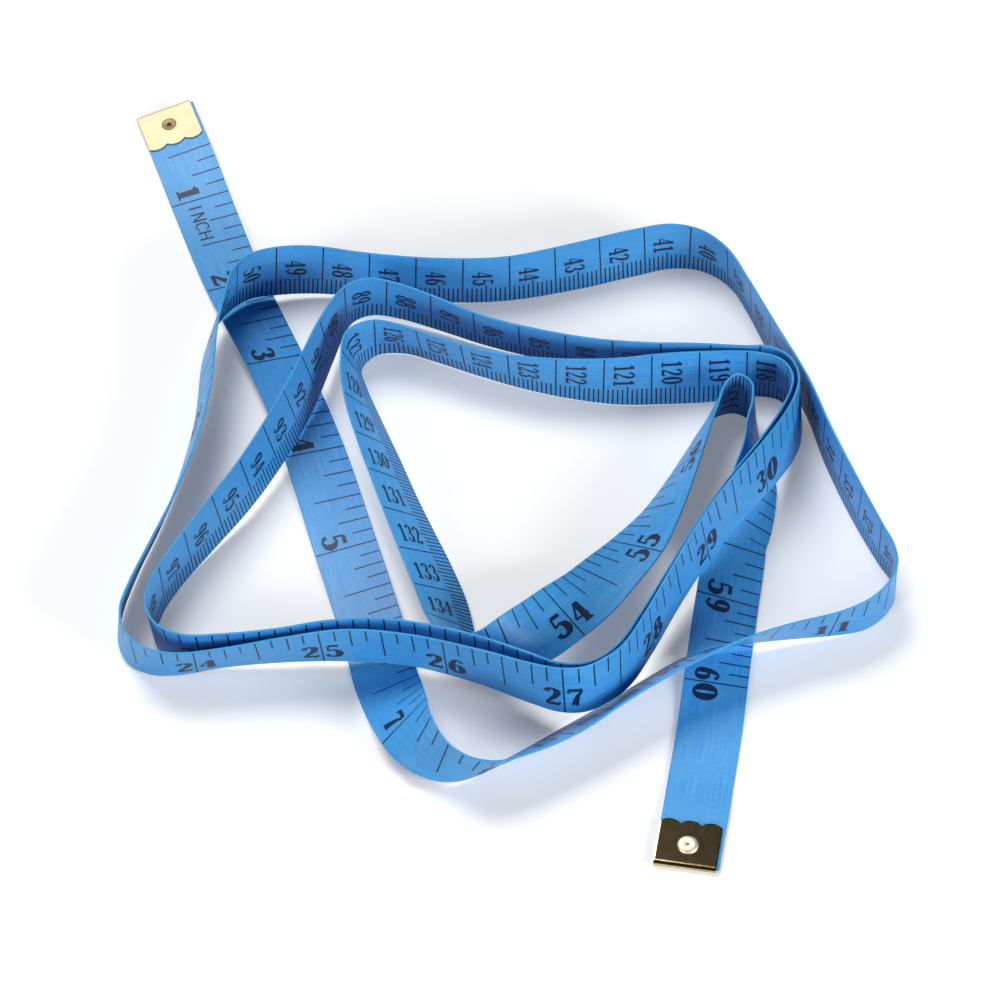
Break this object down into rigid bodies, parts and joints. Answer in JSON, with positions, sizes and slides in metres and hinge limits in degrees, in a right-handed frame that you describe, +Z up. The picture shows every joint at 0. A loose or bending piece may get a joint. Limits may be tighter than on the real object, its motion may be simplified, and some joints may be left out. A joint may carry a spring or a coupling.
{
  "type": "cloth tape measure",
  "caption": "Soft cloth tape measure lying in open standing loops, with inch and centimetre scales on its two faces and a folded brass tip riveted over each end, for measuring around curves.",
  "frame": {"origin": "on the table under the middle of the whole object's box", "axes": "+Z up from the table, +Y from the end tip's side towards the start tip's side, +X to the viewer's right in the picture"},
  "size_m": [0.1602, 0.2024, 0.0197],
  "materials": {
    "tape": "coated woven cloth, semi-gloss",
    "tip_brass": "rolled, slightly dull",
    "rivet_brass": "pressed, bright"
  },
  "bodies": {
    "loops": {"tape_loops": "tape"},
    "start_tail": {"start_tail": "tape", "start_tip": "tip_brass", "start_rivet": "rivet_brass"},
    "end_tail": {"end_tail": "tape", "end_tip": "tip_brass", "end_rivet": "rivet_brass"}
  },
  "joints": [
    {"name": "start_tail_lift", "type": "hinge", "parent": "loops", "child": "start_tail", "pos_m": [-0.0591, 0.0562, 0.00064], "axis": [0.9431, 0.331, -0.03], "range_deg": [0, 90]},
    {"name": "end_tail_lift", "type": "hinge", "parent": "loops", "child": "end_tail", "pos_m": [0.04097, -0.07003, 0.00047], "axis": [-0.9866, 0.1629, -0.002], "range_deg": [0, 90]}
  ]
}
